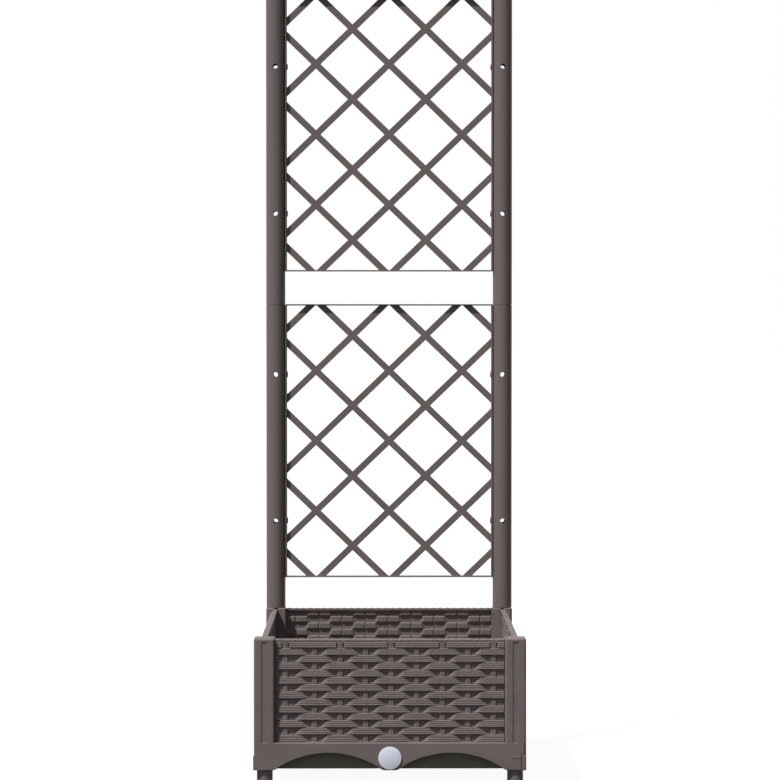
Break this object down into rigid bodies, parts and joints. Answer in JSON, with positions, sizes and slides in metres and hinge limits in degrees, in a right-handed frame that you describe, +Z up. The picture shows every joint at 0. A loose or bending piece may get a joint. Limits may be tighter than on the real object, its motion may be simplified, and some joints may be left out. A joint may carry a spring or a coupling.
{
  "type": "planter with trellis",
  "caption": "Square floor planter with woven-look panels between corner posts, a water tray behind an arched skirt, and a tall arched tube frame that holds diamond lattice panels.",
  "frame": {"origin": "on the floor under the middle of the tub, at the bottom of the feet", "axes": "+Z up, -Y the front with the drain plug, +Y the side with the trellis, +X to the right seen from the front"},
  "size_m": [0.4022, 0.4044, 1.4249],
  "materials": {
    "body_plastic": "satin moulded polypropylene, warm grey-brown, fine grain",
    "tube_plastic": "smooth satin extruded plastic, warm grey",
    "lattice_plastic": "matt moulded plastic, warm grey",
    "tray_plastic": "matt dark moulded plastic",
    "cap_plastic": "smooth pale lavender-grey moulded plastic",
    "seal_rubber": "black rubber"
  },
  "bodies": {
    "tub": {"corner_post_front_left": "body_plastic", "corner_post_front_right": "body_plastic", "corner_post_rear_right": "body_plastic", "corner_post_rear_left": "body_plastic", "foot_front_left": "body_plastic", "foot_front_right": "body_plastic", "foot_rear_right": "body_plastic", "foot_rear_left": "body_plastic", "side_panel_front": "body_plastic", "side_panel_right": "body_plastic", "side_panel_back": "body_plastic", "side_panel_left": "body_plastic", "skirt_front": "body_plastic", "skirt_right": "body_plastic", "skirt_back": "body_plastic", "skirt_left": "body_plastic", "reservoir_tray": "tray_plastic"},
    "floor": {"floor_plate": "tray_plastic"},
    "drain": {"drain_plug": "cap_plastic", "drain_seal": "seal_rubber"},
    "trellis": {"trellis_tube_lower_left": "tube_plastic", "trellis_tube_lower_right": "tube_plastic", "trellis_tube_upper_left": "tube_plastic", "trellis_tube_upper_right": "tube_plastic", "post_plug_left": "tube_plastic", "post_plug_right": "tube_plastic", "tube_joiner_left": "tube_plastic", "tube_joiner_right": "tube_plastic", "trellis_arch": "tube_plastic", "lattice_panel_lower": "lattice_plastic", "lattice_panel_upper": "lattice_plastic", "lattice_rivet_lower_left_1": "tube_plastic", "lattice_rivet_lower_left_2": "tube_plastic", "lattice_rivet_lower_right_1": "tube_plastic", "lattice_rivet_lower_right_2": "tube_plastic", "lattice_rivet_upper_left_1": "tube_plastic", "lattice_rivet_upper_left_2": "tube_plastic", "lattice_rivet_upper_right_1": "tube_plastic", "lattice_rivet_upper_right_2": "tube_plastic"}
  },
  "joints": [
    {"name": "floor_lift", "type": "slide", "parent": "tub", "child": "floor", "axis": [0, 0, 1], "range_m": [0, 0.19]},
    {"name": "drain_pull", "type": "slide", "parent": "tub", "child": "drain", "axis": [0, -1, 0], "range_m": [0, 0.03]},
    {"name": "trellis_lift", "type": "slide", "parent": "tub", "child": "trellis", "axis": [0, 0, 1], "range_m": [0, 0.05]}
  ]
}
